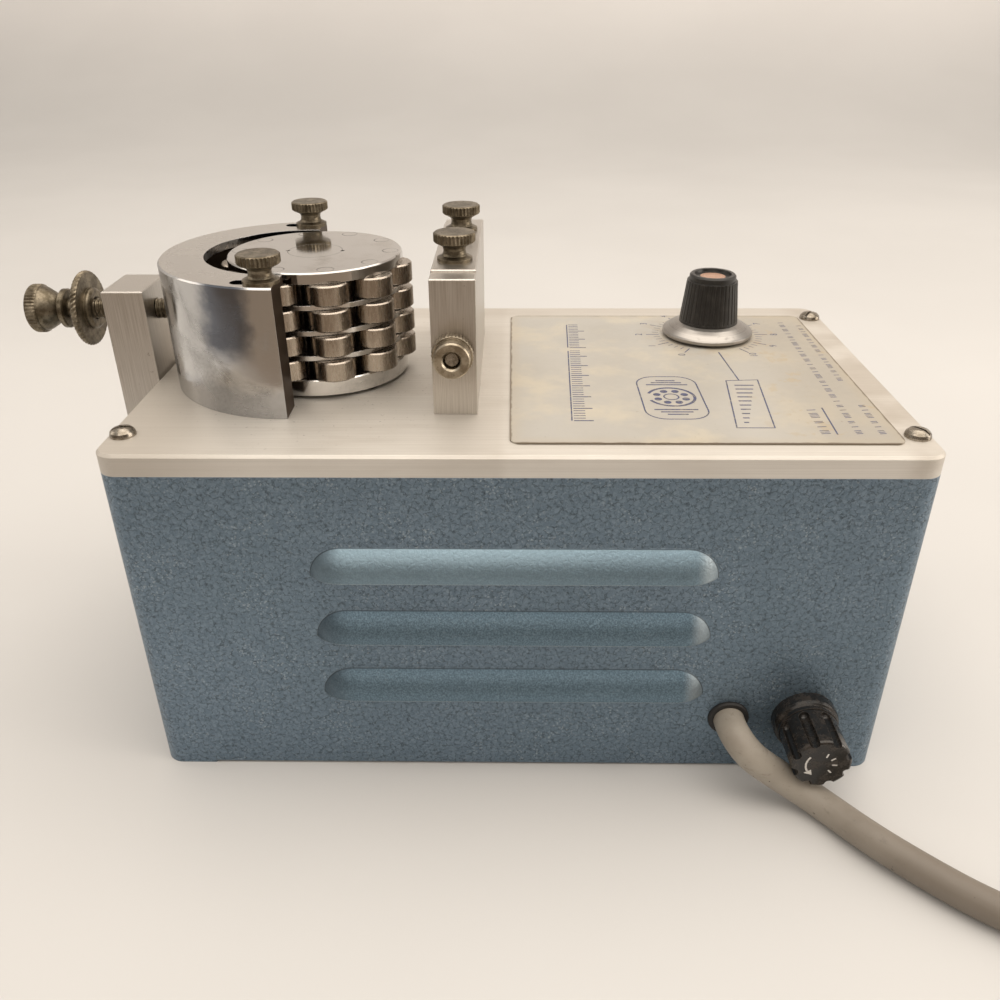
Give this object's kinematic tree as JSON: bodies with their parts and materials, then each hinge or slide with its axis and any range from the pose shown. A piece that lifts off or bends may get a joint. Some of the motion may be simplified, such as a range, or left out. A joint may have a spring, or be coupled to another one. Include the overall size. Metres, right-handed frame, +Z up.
{
  "type": "peristaltic pump",
  "caption": "Bench-top peristaltic pump with a tiered roller head, sliding C-shaped pressure shoe, tube clamp, speed knob and power cord in a louvred steel case.",
  "frame": {"origin": "centre of the case footprint, on the plane the case stands on", "axes": "+X towards the speed-knob side, +Y away from the louvred cord face, +Z up out of the deck"},
  "size_m": [0.3039, 0.2014, 0.1592],
  "materials": {
    "hammertone_blue": "hammertone enamel",
    "brushed_aluminium": "brushed",
    "bar_aluminium": "satin",
    "polished_chrome": "polished",
    "roller_steel": "ground",
    "tarnished_nickel": "tarnished nickel plate",
    "screw_steel": "zinc plated",
    "label_print": "printed satin",
    "black_phenolic": "moulded",
    "spun_aluminium": "spun",
    "copper_insert": "satin",
    "dark_rubber": "matt",
    "cord_grey": "matt vinyl",
    "bronze": "plain",
    "zinc_case": "as cast",
    "fuse_glass": "clear"
  },
  "bodies": {
    "case": {"housing": "hammertone_blue", "deck_plate": "brushed_aluminium", "deck_screws": "screw_steel", "bottom_cover": "zinc_case", "cover_screws": "screw_steel", "name_plate": "label_print", "potentiometer": "zinc_case", "potentiometer_nut": "screw_steel", "shaft_bush": "bronze", "gearbox": "zinc_case", "gearbox_screws": "screw_steel", "motor": "zinc_case", "adjuster_bracket": "bar_aluminium", "bracket_screws": "screw_steel", "bracket_nut": "screw_steel", "clamp_block": "bar_aluminium", "clamp_studs": "screw_steel", "fuse_holder": "black_phenolic", "fuse_holder_nut": "screw_steel", "cord_grommet": "dark_rubber", "power_cord": "cord_grey"},
    "rotor": {"rotor_top_disc": "polished_chrome", "rotor_base_disc": "polished_chrome", "rotor_spacer_discs": "polished_chrome", "rotor_sleeves": "roller_steel", "rotor_hub": "polished_chrome", "roller_pins": "roller_steel"},
    "shoe": {"pressure_shoe": "polished_chrome"},
    "adjuster": {"adjusting_screw": "tarnished_nickel"},
    "locking_disc": {"lock_nut": "tarnished_nickel"},
    "shoe_clamp_front": {"shoe_screw_front": "tarnished_nickel"},
    "shoe_clamp_rear": {"shoe_screw_rear": "tarnished_nickel"},
    "jaw_front": {"front_jaw": "bar_aluminium"},
    "jaw_rear": {"rear_jaw": "bar_aluminium"},
    "nut_front": {"front_clamp_nut": "tarnished_nickel"},
    "nut_rear": {"rear_clamp_nut": "tarnished_nickel"},
    "block_screw_front": {"clamp_screw_front": "tarnished_nickel"},
    "block_screw_rear": {"clamp_screw_rear": "tarnished_nickel"},
    "knob": {"knob_body": "black_phenolic", "knob_skirt": "spun_aluminium", "knob_insert": "copper_insert", "knob_spindle": "screw_steel"},
    "fuse_cartridge": {"fuse": "fuse_glass"},
    "cap": {"fuse_cap": "black_phenolic"},
    "rollers_01": {"roller_set_01": "roller_steel"},
    "rollers_02": {"roller_set_02": "roller_steel"},
    "rollers_03": {"roller_set_03": "roller_steel"},
    "rollers_04": {"roller_set_04": "roller_steel"},
    "rollers_05": {"roller_set_05": "roller_steel"},
    "rollers_06": {"roller_set_06": "roller_steel"},
    "rollers_07": {"roller_set_07": "roller_steel"},
    "rollers_08": {"roller_set_08": "roller_steel"},
    "rollers_09": {"roller_set_09": "roller_steel"},
    "rollers_10": {"roller_set_10": "roller_steel"}
  },
  "joints": [
    {"name": "rotor_spin", "type": "hinge", "parent": "case", "child": "rotor", "pos_m": [-0.0623, 0, 0.1311], "axis": [0, 0, 1], "continuous": true},
    {"name": "roller_spin_01", "type": "hinge", "parent": "rotor", "child": "rollers_01", "pos_m": [-0.0392, 0, 0.1311], "axis": [0, 0, 1], "continuous": true},
    {"name": "roller_spin_02", "type": "hinge", "parent": "rotor", "child": "rollers_02", "pos_m": [-0.04361, 0.01358, 0.1311], "axis": [0, 0, 1], "continuous": true},
    {"name": "roller_spin_03", "type": "hinge", "parent": "rotor", "child": "rollers_03", "pos_m": [-0.05516, 0.02197, 0.1311], "axis": [0, 0, 1], "continuous": true},
    {"name": "roller_spin_04", "type": "hinge", "parent": "rotor", "child": "rollers_04", "pos_m": [-0.06944, 0.02197, 0.1311], "axis": [0, 0, 1], "continuous": true},
    {"name": "roller_spin_05", "type": "hinge", "parent": "rotor", "child": "rollers_05", "pos_m": [-0.08099, 0.01358, 0.1311], "axis": [0, 0, 1], "continuous": true},
    {"name": "roller_spin_06", "type": "hinge", "parent": "rotor", "child": "rollers_06", "pos_m": [-0.0854, 0, 0.1311], "axis": [0, 0, 1], "continuous": true},
    {"name": "roller_spin_07", "type": "hinge", "parent": "rotor", "child": "rollers_07", "pos_m": [-0.08099, -0.01358, 0.1311], "axis": [0, 0, 1], "continuous": true},
    {"name": "roller_spin_08", "type": "hinge", "parent": "rotor", "child": "rollers_08", "pos_m": [-0.06944, -0.02197, 0.1311], "axis": [0, 0, 1], "continuous": true},
    {"name": "roller_spin_09", "type": "hinge", "parent": "rotor", "child": "rollers_09", "pos_m": [-0.05516, -0.02197, 0.1311], "axis": [0, 0, 1], "continuous": true},
    {"name": "roller_spin_10", "type": "hinge", "parent": "rotor", "child": "rollers_10", "pos_m": [-0.04361, -0.01358, 0.1311], "axis": [0, 0, 1], "continuous": true},
    {"name": "shoe_slide", "type": "slide", "parent": "case", "child": "shoe", "axis": [1, 0, 0], "range_m": [0, 0.005]},
    {"name": "adjuster_turn", "type": "hinge", "parent": "shoe", "child": "adjuster", "pos_m": [-0.13, 0, 0.1311], "axis": [1, 0, 0], "range_deg": [0, 1425]},
    {"name": "lock_nut_turn", "type": "hinge", "parent": "adjuster", "child": "locking_disc", "pos_m": [-0.136, 0, 0.1311], "axis": [1, 0, 0], "range_deg": [-180, 180]},
    {"name": "shoe_screw_front_turn", "type": "hinge", "parent": "case", "child": "shoe_clamp_front", "pos_m": [-0.0703, -0.0352, 0.1411], "axis": [0, 0, 1], "range_deg": [0, 360]},
    {"name": "shoe_screw_rear_turn", "type": "hinge", "parent": "case", "child": "shoe_clamp_rear", "pos_m": [-0.0703, 0.0352, 0.1411], "axis": [0, 0, 1], "range_deg": [0, 360]},
    {"name": "front_jaw_slide", "type": "slide", "parent": "case", "child": "jaw_front", "axis": [0, -1, 0], "range_m": [0, 0.003]},
    {"name": "rear_jaw_slide", "type": "slide", "parent": "case", "child": "jaw_rear", "axis": [0, 1, 0], "range_m": [0, 0.003]},
    {"name": "front_nut_turn", "type": "hinge", "parent": "jaw_front", "child": "nut_front", "pos_m": [-0.0183, -0.0405, 0.1298], "axis": [0, -1, 0], "range_deg": [0, 1368]},
    {"name": "rear_nut_turn", "type": "hinge", "parent": "jaw_rear", "child": "nut_rear", "pos_m": [-0.0183, 0.0405, 0.1298], "axis": [0, 1, 0], "range_deg": [0, 1368]},
    {"name": "clamp_screw_front_turn", "type": "hinge", "parent": "case", "child": "block_screw_front", "pos_m": [-0.0182, -0.0191, 0.1411], "axis": [0, 0, 1], "range_deg": [0, 360]},
    {"name": "clamp_screw_rear_turn", "type": "hinge", "parent": "case", "child": "block_screw_rear", "pos_m": [-0.0182, 0.0191, 0.1411], "axis": [0, 0, 1], "range_deg": [0, 360]},
    {"name": "speed_knob_turn", "type": "hinge", "parent": "case", "child": "knob", "pos_m": [0.0675, 0.0319, 0.1211], "axis": [0, 0, -1], "range_deg": [-150, 150]},
    {"name": "fuse_slide", "type": "slide", "parent": "case", "child": "fuse_cartridge", "axis": [0, -1, 0], "range_m": [0, 0.045]},
    {"name": "fuse_cap_turn", "type": "hinge", "parent": "fuse_cartridge", "child": "cap", "pos_m": [0.0892, -0.075, 0.0209], "axis": [0, -1, 0], "range_deg": [0, 60]}
  ],
  "couplings": [
    {"joint": "adjuster_turn", "follows": "shoe_slide", "rad_per_m": 4947.4},
    {"joint": "front_nut_turn", "follows": "front_jaw_slide", "rad_per_m": 7915.8},
    {"joint": "rear_nut_turn", "follows": "rear_jaw_slide", "rad_per_m": 7915.8}
  ]
}
